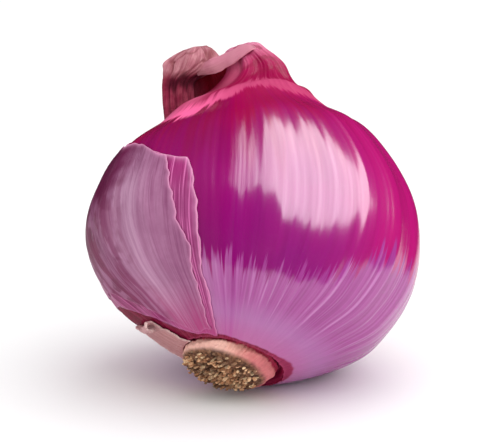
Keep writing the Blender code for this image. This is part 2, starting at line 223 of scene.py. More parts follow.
def newPiece(name, points, faces, finish, stands, values):
    mesh = bpy.data.meshes.new(name)
    mesh.from_pydata(points.reshape(-1, 3).tolist(), [], [list(map(int, f)) for f in faces])
    work = bmesh.new()
    work.from_mesh(mesh)
    bmesh.ops.recalc_face_normals(work, faces=work.faces)
    work.to_mesh(mesh)
    work.free()
    for label, value in values.items():
        value = np.asarray(value, np.float32)
        kind = "FLOAT_VECTOR" if value.shape[-1:] == (3,) and value.ndim > 1 else "FLOAT"
        attribute = mesh.attributes.new(label, kind, "POINT")
        attribute.data.foreach_set("vector" if kind == "FLOAT_VECTOR" else "value", value.reshape(-1))
    mesh.materials.append(finish)
    mesh.shade_smooth()
    mesh.set_sharp_from_angle(angle=math.radians(60))
    piece = placed(name, mesh)
    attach(piece, "root")
    if stands:
        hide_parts(*stands)


# A thin closed piece between two like grids; a value is one for both sides, or a pair for outside and inside
def newShell(name, outside, inside, finish, stands, values):
    rows, columns = outside.shape[:2]
    faces = gridFaces(rows, columns, False)
    count = rows * columns
    index = np.arange(count).reshape(rows, columns)
    rim = np.concatenate([index[0, :-1], index[:-1, -1], index[-1, :0:-1], index[:0:-1, 0]])
    walls = [(a, b, b + count, a + count) for a, b in zip(rim, np.roll(rim, -1))]
    points = np.stack([inPlace(outside), inPlace(inside)])
    for label, value in values.items():
        sides = value if isinstance(value, tuple) else (value, value)
        values[label] = np.stack([np.broadcast_to(v, (rows, columns) + np.shape(v)[2:]) for v in sides])
    newPiece(name, points, list(faces) + list(faces[:, ::-1] + count) + walls, finish, stands, values)


def lengthwise(degrees, height):  # a seamless place on the skin, for streaks that run from root to neck
    return turned(1, np.radians(degrees), height / form["shoulder"])


def veinTable(seed, count, width, jitter):  # heights of fine raised veins round the axis, 0 to 1
    draw = np.random.default_rng(seed)
    degrees = np.linspace(0, 360, 7200, endpoint=False)
    table = np.zeros_like(degrees)
    for k in range(count):
        centre = (k + draw.uniform(-jitter, jitter)) * 360.0 / count
        height = draw.uniform(0.35, 1.0)
        table = np.maximum(table, height * bump(degrees, centre, width * draw.uniform(0.7, 1.4)))
    return degrees, table


def readVeins(veins, degrees):
    return np.interp(degrees % 360.0, veins[0], veins[1], period=360.0)


def ragged(share, seed, waves=((9, 1.0), (21, 0.6), (33, 0.4), (71, 0.22), (127, 0.13))):  # of an edge
    line = 0.0
    for k, (count, depth) in enumerate(waves):
        line = line + depth * np.sin(count * share + seed * (1 + 0.37 * k))
    return line


# Material helpers; those that are given a socket work in the tree that it belongs to
def setInputs(node, inputs):  # links sockets, and sets plain numbers and colours on the node's own
    for key, value in inputs.items():
        if isinstance(value, bpy.types.NodeSocket):
            node.id_data.links.new(value, node.inputs[key])
        else:
            node.inputs[key].default_value = value


def addNode(tree, kind, inputs=None, **settings):
    made = tree.nodes.new(kind)
    for key, value in settings.items():
        setattr(made, key, value)
    setInputs(made, inputs or {})
    return made


def newMaterial(name):  # gives the material, its shader and a reader of the pieces' own values
    made = bpy.data.materials.new(name)
    made.use_nodes = True
    tree = made.node_tree

    def read(value, output="Fac"):
        return addNode(tree, "ShaderNodeAttribute", attribute_name=value).outputs[output]

    return made, tree.nodes["Principled BSDF"], read


def addMath(operation, first, second):
    owner = first if isinstance(first, bpy.types.NodeSocket) else second
    return addNode(owner.id_data, "ShaderNodeMath", {0: first, 1: second}, operation=operation).outputs[0]


def plus(first, second):
    return addMath("ADD", first, second)


def times(first, *others):
    for other in others:
        first = addMath("MULTIPLY", first, other)
    return first


def spread(value, low, high, toLow=0.0, toHigh=1.0):  # a smooth step from one value to another
    inputs = {"Value": value, "From Min": low, "From Max": high, "To Min": toLow, "To Max": toHigh}
    return addNode(value.id_data, "ShaderNodeMapRange", inputs, interpolation_type="SMOOTHSTEP").outputs[0]


def mixed(mask, first, second):
    first, second = ((*c, 1.0) if isinstance(c, tuple) else c for c in (first, second))
    return addNode(mask.id_data, "ShaderNodeMix", {0: mask, 6: first, 7: second}, data_type="RGBA").outputs[2]


def coated(colour, *coats):  # a coat is its tone, and the masks and share that let it show
    for tone, *masks in coats:
        colour = mixed(times(*masks), colour, tone)
    return colour


def ramped(factor, stops):
    made = addNode(factor.id_data, "ShaderNodeValToRGB", {"Fac": factor})
    ramp = made.color_ramp
    ramp.interpolation = "EASE"
    while len(ramp.elements) < len(stops):
        ramp.elements.new(0.5)
    for element, (place, colour) in zip(ramp.elements, stops):
        element.position = place
        element.color = (*colour, 1.0)
    return made.outputs["Color"]


def embossed(height, strength, distance):
    inputs = {"Height": height, "Strength": strength, "Distance": distance}
    return addNode(height.id_data, "ShaderNodeBump", inputs).outputs["Normal"]


def addNoise(where, seed, scale, detail, roughness):
    inputs = {"Vector": where, "W": seed, "Scale": scale, "Detail": detail, "Roughness": roughness}
    return addNode(where.id_data, "ShaderNodeTexNoise", inputs, noise_dimensions="4D").outputs["Fac"]


def newGroup(name, inputs, output):  # an input with no number is a vector
    group = bpy.data.node_groups.new(name, "ShaderNodeTree")
    for label, value in inputs.items():
        kind = "NodeSocketVector" if value is None else "NodeSocketFloat"
        socket = group.interface.new_socket(name=label, in_out="INPUT", socket_type=kind)
        if value is not None:
            socket.default_value = value
    group.interface.new_socket(name=output, in_out="OUTPUT", socket_type="NodeSocketFloat")
    return group, group.nodes.new("NodeGroupInput").outputs, group.nodes.new("NodeGroupOutput")


def makeStreaks():  # streaks that run lengthwise, from the seamless place on the skin
    inputs = {"Place": None, "Round": 12.0, "Along": 0.6, "Seed": 0.0}
    group, given, out = newGroup("lengthwiseStreaks", inputs, "Streak")
    scale = {"X": given["Round"], "Y": given["Round"], "Z": given["Along"]}
    scale = addNode(group, "ShaderNodeCombineXYZ", scale).outputs[0]
    where = addNode(group, "ShaderNodeVectorMath", {0: given["Place"], 1: scale}, operation="MULTIPLY")
    noise = addNoise(where.outputs[0], given["Seed"], 1, 3, 0.6)
    setInputs(out, {"Streak": spread(noise, 0.3, 0.7)})
    return group


def makeMottle():  # soft blotches, their size in metres
    group, given, out = newGroup("softMottle", {"Size": 0.012, "Seed": 0.0}, "Mottle")
    where = addNode(group, "ShaderNodeTexCoord").outputs["Object"]
    scale = addMath("DIVIDE", 1, given["Size"])
    setInputs(out, {"Mottle": spread(addNoise(where, given["Seed"], scale, 2.5, 0.55), 0.35, 0.65)})
    return group


print("shared effects")
streaks = makeStreaks()
mottle = makeMottle()


def streaked(place, across, along, seed):
    inputs = {"Place": place, "Round": across, "Along": along, "Seed": seed}
    return addNode(place.id_data, "ShaderNodeGroup", inputs, node_tree=streaks).outputs["Streak"]


def mottled(shader, size, seed):
    inputs = {"Size": size, "Seed": seed}
    return addNode(shader.id_data, "ShaderNodeGroup", inputs, node_tree=mottle).outputs["Mottle"]


# The bulb: glossy skin with fine raised veins, a ragged rim round the root and the drawn-up neck
bulb = {
    "columns": 460,
    "rowsAbove": 186,
    "rowsBelow": 16,
    "skinLift": 0.00014,
    "rimFlare": 0.0002,
    "rimMiddle": 0.93,
    "rimTilt": 0.006,
    "rimTowards": 285.0,
    "rimRag": 0.005,
    "veins": (11, 84, 0.75, 0.42),  # seed, count, width in degrees, jitter
    "veinHeight": 0.00008,
    "swellHeight": 0.00002,
    "wander": 1.6,
    "sides": {  # angle and width of what shows on one side only
        "leftSide": (247, 22), "lip": (232, 22), "paleLip": (196, 16), "leftFold": (222, 16),
        "dim": (263.6, 9),
    },
    "neckRidges": [  # angle, width, depth as a share of the radius
        (206, 15, 0.16), (233, 9, -0.12), (258, 12, 0.05), (283, 10, -0.05), (308, 14, 0.05),
        (334, 10, -0.07), (354, 13, 0.07), (35, 16, -0.06), (85, 20, 0.08), (135, 16, -0.08), (168, 12, 0.06),
    ],
    "wrinkle": (0.00007, 0.0026),  # height and spacing of the crosswise wrinkles of the neck
    "paleFoot": [  # angle and height where the deep colour gives way to the pale root end; this line follows where the gloss mirrors the white table, so the pale below it is partly painted reflection
        (0, -0.0065), (40, -0.008), (100, -0.01), (180, -0.012), (230, -0.0155), (254, -0.0165),
        (276, -0.0172), (290, -0.0172), (305, -0.015), (318, -0.01), (330, -0.0077), (345, -0.0068),
        (360, -0.0065),
    ],
}
bulbVeins = veinTable(*bulb["veins"])


def pinkFoot(degrees):  # height at which the pale pink of the neck begins
    return 0.0256 - 0.0042 * np.sin(np.radians(degrees - 278.0)) ** 2 - 0.003 * bump(degrees, 238.0, 20.0)


def skinBottom(degrees):  # place at which the dry skin ends towards the root
    return 0.717 + 0.196 * blendStep(152.0, 234.0, degrees)


def rimBand(degrees):  # place at which the crimson round the root end begins
    band = 0.902 + 0.003 * ragged(np.radians(degrees), 1.7, ((9, 0.6), (31, 0.5)))
    band = band - 0.024 * bump(degrees, 352.0, 26.0) + 0.014 * bump(degrees, 288.0, 26.0)
    return band - 0.01 * bump(degrees, 228.0, 20.0)


def makeBulb(finish):
    columns = np.arange(bulb["columns"]) * 360.0 / bulb["columns"]
    rim = bulb["rimMiddle"] + bulb["rimTilt"] * np.cos(np.radians(columns - bulb["rimTowards"]))
    rim = rim + bulb["rimRag"] * ragged(np.radians(columns), 0.9, ((5, 0.6), (13, 0.5), (29, 0.4), (57, 0.3)))
    above = np.linspace(0, 1, bulb["rowsAbove"])[:, None] * rim
    below = rim + np.linspace(0, 1, bulb["rowsBelow"])[:, None] ** 1.3 * (1 - rim)
    place = np.concatenate([above, below])
    isAbove = np.arange(len(place))[:, None] < bulb["rowsAbove"]
    degrees = np.broadcast_to(columns, place.shape)
    angle = np.radians(degrees)
    height = curveThrough(form["outline"], place)[..., 1]
    body = blendStep(form["rootSeat"], -0.02, height) * (1 - blendStep(0.02, form["shoulder"], height))
    vein = readVeins(bulbVeins, degrees + bulb["wander"] * np.sin(height * 90 + angle * 3))
    swells = sum(np.cos(n * angle + 1.7 * n + 25 * height) for n in (27, 34, 43))
    lift = (bulb["skinLift"] + bulb["rimFlare"] * np.exp(-(((place - rim) / 0.006) ** 2))) * isAbove
    lift = lift + bulb["veinHeight"] * vein * (0.35 + 0.65 * body) + bulb["swellHeight"] * swells * body
    points = onBulb(place, degrees, lift)

    # the drawn-up neck, with its ridges and its fine crosswise wrinkles
    rise = blendStep(form["neckFoot"] - 0.001, form["neckFormed"] + 0.002, height)
    twisted = degrees + 900 * (height - 0.031)
    ridges = sum(depth * bump(twisted, centre, width) for centre, width, depth in bulb["neckRidges"])
    fine = 0.011 * np.cos(31 * angle + 300 * height) + 0.008 * np.cos(53 * angle)
    depth, spacing = bulb["wrinkle"]
    crosswise = np.sin(height * 2 * math.pi / spacing + 2.2 * np.sin(2 * angle) + 0.6)
    crosswise = crosswise * bump(degrees, 290, 60)
    folds = (1 + rise * (ridges + fine)) * (1 + rise * crosswise * depth / 0.005)
    points[..., :2] *= folds[..., None]
    points = neckShape(points)
    world = inPlace(points)
    world[..., 2] = np.maximum(world[..., 2], 0.0)

    # where the finish changes
    paleFoot = np.interp(degrees, *zip(*bulb["paleFoot"]))
    under = blendStep(-0.016, 0.002, place - skinBottom(degrees)) * blendStep(136.0, 150.0, degrees)
    under = under * blendStep(250.0, 238.0, degrees + 2.0 * ragged(place * 8, 1.0))
    under = np.maximum(under, blendStep(0.0, 0.009, place - rimBand(degrees)))
    # painted shade: dark crimson in the hollow between the leaf bases and the drawn-up neck, where shade
    # falls
    hollowShade = ((points[..., 0] + 0.0052) / 0.0038) ** 2 + ((points[..., 1] + 0.001) / 0.0058) ** 2
    hollowShade = np.exp(-hollowShade) * blendStep(0.0235, 0.0262, height)
    values = {label: withEnds(bump(degrees, *side)) for label, side in bulb["sides"].items()}
    values |= {
        "skinPlace": withEnds(lengthwise(degrees, height), (0, 0, 1.4), (0, 0, -1.0)),
        "skinHeight": withEnds(height, form["tip"], form["rootSeat"]),
        "vein": withEnds(vein * (0.25 + 0.75 * body)),
        "pinkUp": withEnds((height - pinkFoot(degrees)) / (form["tip"] - pinkFoot(degrees)), 1, -3),
        "abovePale": withEnds(height - paleFoot, 0.05, -0.01),
        "rightSide": withEnds(blendStep(296.0, 330.0, degrees) + blendStep(60.0, 20.0, degrees)),
        "neckRise": withEnds(rise, 1, 0),
        "neckFoldShade": withEnds(ridges + 0.25 * crosswise),
        "collar": withEnds(~isAbove * np.ones_like(place), 0, 1),
        "underSkin": withEnds(under),
        "nearRim": withEnds(np.exp(-(((place - rim) / 0.01) ** 2)) * isAbove),
        "hollowShade": withEnds(hollowShade),
    }
    world = withEnds(world, world[0].mean(0), world[-1].mean(0))
    newPiece("bulb_skin", world, cappedFaces(*place.shape), finish, ("bulb",), values)


def glossySkin():
    made, shader, read = newMaterial("glossySkin")
    place = read("skinPlace", "Vector")
    height = read("skinHeight")
    broad = streaked(place, 9, 0.5, 1)
    medium = streaked(place, 22, 0.6, 4)
    fine = streaked(place, 55, 0.9, 7)
    soft = mottled(shader, 0.013, 2)
    uneven = plus(height, spread(broad, 0, 1, -0.003, 0.003))
    level = {"Value": uneven, "From Min": -0.018, "From Max": form["shoulder"]}
    level = addNode(shader.id_data, "ShaderNodeMapRange", level).outputs[0]
    colour = ramped(level, [
        (0.0, (0.27, 0.0003, 0.18)), (0.4, (0.31, 0.0003, 0.18)), (0.65, (0.33, 0.0005, 0.135)),
        (0.85, (0.37, 0.001, 0.062)), (1.0, (0.39, 0.002, 0.064)),
    ])
    # the front left darker, partly its own deeper tone and partly painted shade on the side away from the
    # lamps; the right redder and lighter, partly its own tone and partly painted light
    left = mixed(spread(level, 0.45, 0.75), (0.23, 0.0005, 0.105), (0.2, 0.0005, 0.036))
    colour = coated(
        colour,
        (left, read("leftSide"), 0.65),
        ((0.5, 0.001, 0.155), read("rightSide"), spread(medium, 0, 1, 0.75, 1)),
        ((0.2, 0.001, 0.11), spread(medium, 0.3, 1), 0.3),
        ((0.46, 0.002, 0.16), soft, 0.15),
    )
    # towards the root the colour gives way to lilac, in teeth that follow the veins: partly the root end's
    # own paler colour, partly painted reflection of the white table where the gloss mirrors it
    teeth = plus(spread(medium, 0, 1, -0.0021, 0.0021), spread(fine, 0, 1, -0.0012, 0.0012))
    lilacAndReflection = coated(
        mixed(spread(fine, 0.2, 0.9), (0.36, 0.034, 0.27), (0.27, 0.01, 0.195)),
        ((0.24, 0.008, 0.17), spread(medium, 0.4, 1), 0.45),
        ((0.42, 0.055, 0.32), broad, 0.35),
        ((0.57, 0.2, 0.5), spread(read("vein"), 0.25, 0.95), 0.66),
        ((0.44, 0.165, 0.42), spread(height, -0.0208, -0.0245), 0.6),
        ((0.44, 0.15, 0.36), read("leftSide"), 0.6),
        ((0.52, 0.075, 0.26), spread(height, -0.0235, -0.0266), 0.45),
    )
    # the drawn-up neck, in bands of pink
    pink = plus(read("pinkUp"), spread(medium, 0, 1, -0.05, 0.05))
    pink = plus(pink, spread(soft, 0, 1, -0.03, 0.03))
    isNeck = spread(pink, -0.04, 0.05)
    wisps = streaked(place, 18, 2, 9)
    neck = ramped(pink, [
        (0.0, (0.44, 0.02, 0.115)), (0.07, (0.5, 0.055, 0.155)), (0.24, (0.49, 0.052, 0.15)),
        (0.33, (0.27, 0.002, 0.048)), (0.52, (0.29, 0.002, 0.052)), (0.64, (0.34, 0.004, 0.07)),
        (0.78, (0.48, 0.06, 0.16)), (0.9, (0.6, 0.16, 0.28)), (1.0, (0.62, 0.22, 0.34)),
    ])
    neck = coated(
        neck,
        ((0.6, 0.09, 0.21), spread(wisps, 0.5, 1), 0.22),
        ((0.36, 0.02, 0.1), spread(wisps, 0.5, 0), 0.35),
        # painted shade: darker crimson in the grooves of the drawn-up neck
        ((0.26, 0.01, 0.05), spread(read("neckFoldShade"), -0.02, -0.13), 0.65, read("neckRise")),
        ((0.95, 0.145, 0.36), read("lip"), spread(pink, 0.32, 0.12, 0, 0.95)),
        ((0.7, 0.13, 0.26), spread(pink, 0.2, 0.34), spread(pink, 0.95, 0.7), read("leftFold"), 0.75),
        ((0.48, 0.17, 0.28), read("paleLip"), spread(pink, 0.36, 0.08, 0, 0.75)),
    )
    redUnder = mixed(spread(fine, 0.3, 0.8), (0.15, 0.003, 0.024), (0.27, 0.018, 0.06))
    # pinker towards the right, partly its own tone and partly painted light on the lit side
    redUnder = coated(redUnder, ((0.36, 0.035, 0.12), read("rightSide"), 0.5))
    colour = coated(
        colour,
        (lilacAndReflection, spread(plus(read("abovePale"), teeth), 0.0009, -0.0009)),
        (neck, isNeck),
        # painted shade in the hollow beside the neck
        ((0.13, 0.0005, 0.014), read("hollowShade"), 0.9),
        (redUnder, read("underSkin")),
        ((0.45, 0.06, 0.14), read("nearRim"), 0.3),
        ((0.24, 0.01, 0.05), read("collar")),
    )
    dull = addMath("MAXIMUM", isNeck, read("collar"))
    dull = addMath("MAXIMUM", dull, times(read("underSkin"), 0.85))
    broken = times(read("dim"), spread(medium, 0, 0.8, 0.35, 0.85))
    sheen = times(spread(fine, 0, 1, 1, 0.9), spread(medium, 0, 1, 1, 0.8), addMath("SUBTRACT", 1, broken))
    setInputs(shader, {
        "Base Color": colour,
        "Roughness": plus(spread(dull, 0, 1, 0.45, 0.6), spread(fine, 0, 1, -0.03, 0.04)),
        "Coat Weight": times(sheen, spread(dull, 0, 1, 1, 0.12)),
        "Coat Roughness": 0.2,
        "Coat IOR": 1.9,
        "Specular IOR Level": 0.0,
        "Normal": embossed(plus(times(fine, 0.5), medium), 0.3, 0.00006),
    })
    return made


print("bulb")
makeBulb(glossySkin())

# Dry papery skin on the left, in two torn layers; edges are given as place along and angle round
drySkin = {
    "columns": 130,
    "rows": 170,
    "thickness": 0.0001,
    "backEdge": [(0.4, 108.0), (0.5, 112.0), (0.62, 126.0), (1.01, 150.0)],
    "bottomSlope": (0.15, 0.85),
    "veins": (5, 120, 0.62, 0.45),
    "veinHeight": 0.00005,
}
dryLayers = {
    "papery_skin_inner": {
        "frontEdge": [(0.4, 230.0), (0.5, 238.5), (0.56, 243.5), (0.6, 248.2), (0.64, 250.8),
                      (0.74, 252.5), (0.98, 250.5)],
        "backShift": 2.0, "top": 0.42, "topDrop": 0.164, "topPower": 2.2, "bottom": 0.717,
        "bottomDrop": 0.196, "lift": 0.00034, "rag": 0.8, "seed": 1.3, "curl": 0.0001},
    "papery_skin_outer": {
        "frontEdge": [(0.4, 223.0), (0.5, 230.5), (0.54, 236.0), (0.58, 240.0), (0.63, 243.2),
                      (0.69, 246.0), (0.91, 248.0)],
        "backShift": 9.0, "top": 0.476, "topDrop": 0.084, "topPower": 3, "bottom": 0.692,
        "bottomDrop": 0.19, "lift": 0.00054, "rag": 1.0, "seed": 4.1, "curl": 0.00016},
}
dryVeins = veinTable(*drySkin["veins"])


def dryPoints(layer, across, down, extra):
    seed = layer["seed"]
    ragAlong = 0.006 * layer["rag"]
    top = layer["top"] + ragAlong * ragged(across, seed) + layer["topDrop"] * across ** layer["topPower"]
    drop = layer["bottomDrop"] * blendStep(*drySkin["bottomSlope"], across)
    bottom = layer["bottom"] + ragAlong * ragged(across, seed + 2.7) + drop
    place = top + (bottom - top) * down
    front, back = (np.interp(place, *zip(*points)) for points in (layer["frontEdge"], drySkin["backEdge"]))
    front = front + layer["rag"] * ragged(down, seed - 0.9)
    back = back + layer["backShift"] + layer["rag"] * ragged(down, seed + 1.6)
    degrees = back + (front - back) * across
    height = curveThrough(form["outline"], place)[..., 1]
    rimAway = np.minimum(np.minimum(across, 1 - across) * 3.2, np.minimum(down, 1 - down) * 1.6)
    curl = layer["curl"] * np.exp(-rimAway / 0.035) * (1 - blendStep(0.8, 0.96, down))
    vein = readVeins(dryVeins, degrees + 1.2 * np.sin(height * 110))
    pucker = 0.00006 * np.sin(np.radians(degrees) * 17 + 40 * height) * np.sin(height * 260)
    lift = layer["lift"] + curl + pucker + drySkin["veinHeight"] * vein + extra
    return onBulb(place, degrees, lift), degrees, height, vein, rimAway, front - degrees


def makeDryLayer(name, finish, stands):
    layer = dryLayers[name]
    down, across = sheetGrid(drySkin["rows"], drySkin["columns"])
    outside, degrees, height, vein, rimAway, fromFront = dryPoints(layer, across, down, 0.0)
    inside = dryPoints(layer, across, down, -drySkin["thickness"])[0]
    wavy = degrees + 2.0 * np.sin(height * 1100)
    upperLeft = blendStep(223.0, 208.0, wavy) * blendStep(-0.002, 0.007, height)
    newShell(name, outside, inside, finish, stands, {
        "skinPlace": lengthwise(degrees, height),
        "skinHeight": height,
        "vein": vein,
        # painted highlight along the torn edges, where they catch the light
        "edge": np.exp(-rimAway / 0.016) * (1 - 0.7 * blendStep(0.93, 0.99, down)),
        "toBottom": 1 - down,
        "leftSide": blendStep(226.0, 196.0, degrees) * (0.4 + 0.6 * blendStep(168.0, 192.0, degrees)),
        "paleSide": bump(degrees, 221.0, 9.0) * (1 - blendStep(0.0, 0.01, height)),
        "upperLeft": upperLeft * blendStep(178.0, 196.0, degrees),
        "underLayer": float(stands != ()),
        "fromFront": fromFront,
    })


def paperySkin():
    made, shader, read = newMaterial("paperySkin")
    place = read("skinPlace", "Vector")
    height = read("skinHeight")
    leftSide = read("leftSide")
    strip = read("underLayer")  # the under layer, of which a strip shows
    broad = streaked(place, 7, 1, 11)
    medium = streaked(place, 20, 0.8, 14)
    fine = streaked(place, 60, 1.2, 17)
    torn = streaked(place, 13, 1.9, 19)
    lines = streaked(place, 70, 0.9, 27)
    blotch = mottled(shader, 0.008, 5)
    grain = mottled(shader, 0.0011, 8)
    spots = mottled(shader, 0.0045, 61)
    side = times(leftSide, spread(blotch, 0.1, 0.7, 0.45, 1), spread(medium, 0.1, 0.6, 0.6, 1))
    fromFront = plus(read("fromFront"), spread(lines, 0, 1, -0.8, 0.8))
    low = times(spread(read("toBottom"), 0.38, 0.02), spread(fine, 0.1, 0.8, 0.5, 0.98))
    colour = coated(
        mixed(broad, (0.4, 0.15, 0.29), (0.26, 0.07, 0.175)),
        ((0.48, 0.22, 0.37), medium, 0.5),
        ((0.19, 0.035, 0.115), spread(fine, 0.5, 1), 0.55),
        ((0.41, 0.06, 0.23), strip, 0.68),
        ((0.18, 0.022, 0.105), strip, spread(height, 0.012, 0.019), 0.8),
        ((0.56, 0.27, 0.44), spread(read("vein"), 0.2, 0.9), 0.4),
        ((0.22, 0.055, 0.145), blotch, 0.38),
        ((0.2, 0.045, 0.12), grain, 0.12),
        ((0.6, 0.34, 0.5), read("paleSide"), spread(medium, 0.1, 0.9, 0.35, 0.75)),
        ((0.14, 0.012, 0.062), side, spread(height, -0.016, -0.008, 0.2, 0.92)),
        ((0.15, 0.006, 0.065), spread(height, 0.0095, 0.0165), 0.85, spread(medium, 0, 0.8, 1, 0.55)),
        ((0.17, 0.003, 0.06), spread(torn, 0.45, 0.75), leftSide, 0.85),
        ((0.14, 0.005, 0.055), spread(spots, 0.4, 0.85), leftSide, 0.85),
        ((0.14, 0.004, 0.055), read("upperLeft"), spread(medium, 0, 0.8, 0.9, 0.6)),
        # the under layer's strip: magenta, with bright and dark lines along it
        ((0.34, 0.01, 0.15), strip, spread(height, -0.006, 0.005, 0.25, 0.8), spread(fromFront, 0.8, 2.2)),
        ((0.76, 0.2, 0.48), strip, spread(lines, 0.62, 0.92, 0, 0.7)),
        ((0.21, 0.006, 0.095), strip, spread(lines, 0.38, 0.1, 0, 0.7)),
        ((0.42, 0.045, 0.185), low, spread(leftSide, 0, 0.8, 1, 0.15)),
        # painted highlight along the torn edges
        ((0.84, 0.34, 0.58), read("edge"), 0.85),
    )
    setInputs(shader, {
        "Base Color": colour,
        "Roughness": spread(medium, 0, 1, 0.42, 0.56),
        "Coat Weight": spread(broad, 0, 1, 0.12, 0.04),
        "Coat Roughness": 0.34,
        "Specular IOR Level": 0.12,
        "Normal": embossed(plus(times(fine, 0.6), times(grain, 0.35)), 0.45, 0.00008),
    })
    return made


print("papery skin")
paper = paperySkin()
makeDryLayer("papery_skin_inner", paper, ("papery_skin",))
makeDryLayer("papery_skin_outer", paper, ())

# The rolled scrap of skin beside the root end
curl = {
    "columns": 90,
    "rows": 110,
    "start": 0.938,
    "turns": (0.76, 0.828),
    "startAngles": (153.0, 210.0),
    "turnAngles": (151.0, 190.0),
    "lyingShare": 0.62,
    "radius": (0.0004, 0.0013),  # at its back and front ends
    "tightening": 0.35,
    "sweep": (math.radians(70.0), math.radians(275.0)),
    "thickness": 0.00022,
    "gap": 0.0005,
}


def curlPoints(across, down, lift):
    lying = np.clip(down / curl["lyingShare"], 0, 1)
    first, last = (between(ends, lying) for ends in zip(curl["startAngles"], curl["turnAngles"]))
    degrees = between((first, last), across) + 0.9 * ragged(down * 2, 0.7) * (2 * across - 1)
    turnPlace = between(curl["turns"], across) + 0.004 * ragged(across, 2.2)
    size = between(curl["radius"], across)
    flat = onBulb(between((curl["start"], turnPlace), lying), degrees, curl["gap"] + lift)
    rolled = np.clip((down - curl["lyingShare"]) / (1 - curl["lyingShare"]), 0, 1)
    turn = between(curl["sweep"], blendStep(0.0, 0.75, across)) * rolled
    radius = size * (1 - curl["tightening"] * rolled) - lift
    foot = onBulb(turnPlace, degrees, curl["gap"])
    out = unit(onBulb(turnPlace, degrees, curl["gap"] + 0.001) - foot)
    along = unit(foot - onBulb(turnPlace + 0.01, degrees, curl["gap"]))
    roll = foot + along * (radius * np.sin(turn))[..., None] + out * (size - radius * np.cos(turn))[..., None]
    return np.where((down <= curl["lyingShare"])[..., None], flat, roll)


def makeCurl(finish):
    down, across = sheetGrid(curl["rows"], curl["columns"])
    crinkle = 0.00005 * np.sin(across * 46 + 5 * down) + 0.00004 * np.sin(down * 60 + 9 * across)
    outer = curlPoints(across, down, curl["thickness"] + crinkle)
    inner = curlPoints(across, down, crinkle)
    rimAway = np.minimum(np.minimum(across, 1 - across) * 1.5, 1 - down)
    newShell("rolled_scrap", outer, inner, finish, ("skin_curl",), {
        "skinPlace": np.stack([across * 2, np.zeros_like(across), down], -1),
        "edge": np.exp(-rimAway / 0.05),
        "paleSide": (1.0, 0.0),
        "rollShare": blendStep(0.45, 0.72, down),
    })


def scrapSkin():
    made, shader, read = newMaterial("scrapSkin")
    place = read("skinPlace", "Vector")
    medium = streaked(place, 9, 1.2, 21)
    fine = streaked(place, 26, 3, 23)
    colour = coated(
        mixed(medium, (0.5, 0.19, 0.19), (0.3, 0.06, 0.075)),
        ((0.72, 0.4, 0.4), read("paleSide"), 0.45),
        ((0.82, 0.5, 0.52), read("rollShare"), 0.6),
        ((0.26, 0.045, 0.06), fine, 0.35),
        # painted highlight along the scrap's edges and rolled end, where they catch the light
        ((0.86, 0.62, 0.58), read("edge"), 0.8),
    )
    roughness = spread(fine, 0, 1, 0.5, 0.66)
    setInputs(shader, {"Base Color": colour, "Roughness": roughness, "Normal": embossed(fine, 0.5, 0.0001)})
    return made


print("rolled scrap")
makeCurl(scrapSkin())

# Root plate with the stubs of its trimmed roots
root = {
    "radius": 0.0086,
    "height": 0.0046,
    "top": form["rootSeat"] - 0.0003,  # just clear of the bulb
    "lean": (0.002, math.radians(188.0)),
    "fall": 0.25,
    "profile": [
        (0.0, 0.0), (0.9, 0.0), (1.0, 0.2), (1.0, 0.48), (0.92, 0.76), (0.68, 0.92), (0.34, 1.0),
        (0.0, 1.0),
    ],
    "columns": 220,
    "rows": 80,
    "stubs": 290,
    "stubReach": 0.81,
    "stubRadius": (0.00024, 0.00044),
    "stubLengths": (0.0003, 0.0012),
    "stubSink": 0.0007,
    "splay": math.radians(30.0),
    "sides": 7,
}


def plateShape(points):
    slide = root["lean"][0] * (root["top"] - points[..., 2]) / root["height"]
    return inPlace(points + turned(slide, root["lean"][1], np.zeros_like(slide)))


def makePlate(finish):
    place, degrees = roundGrid(root["rows"], root["columns"])
    share = curveThrough(root["profile"], place)
    angle = np.radians(degrees)
    side = np.exp(-(((place - 0.4) / 0.22) ** 2))
    grooves = 0.01 * np.cos(41 * angle + 3 * np.sin(5 * angle)) + 0.008 * np.cos(67 * angle)
    grooves = grooves + 0.022 * np.cos(7 * angle)
    grooves = grooves + 0.022 * np.sin(17 * angle + 9 * place) * np.sin(11 * angle - 23 * place)
    lumps = np.sin(900 * share[..., 0] * root["radius"] + 5 * angle) + np.sin(13 * angle + 17 * place)
    radius = share[..., 0] * root["radius"] * (1 + side * grooves)
    depth = share[..., 1] * root["height"] - 0.00009 * lumps * blendStep(0.4, 0.8, place)
    points = plateShape(turned(radius, angle, root["top"] - depth))
    faces = gridFaces(root["rows"], root["columns"], True)
    values = {"skinPlace": turned(1, angle, place), "downShare": share[..., 1]}
    newPiece("root_disc", points, faces, finish, ("root_plate",), values)


def tubeParts(path, radii, sides, first):  # a capped tube along a path; faces are counted from first
    points = []
    for index, (centre, radius) in enumerate(zip(path, radii)):
        ahead = path[min(index + 1, len(path) - 1)] - path[max(index - 1, 0)]
        heading = ahead.to_track_quat("Z", "Y")
        for k in range(sides):
            points.append(centre + heading @ Vector(turned(radius, 2 * math.pi * k / sides, 0)))
    rings = first + np.arange(len(points)).reshape(-1, sides)
    return points, list(first + gridFaces(len(path), sides, True)) + [rings[0], rings[-1, ::-1]]


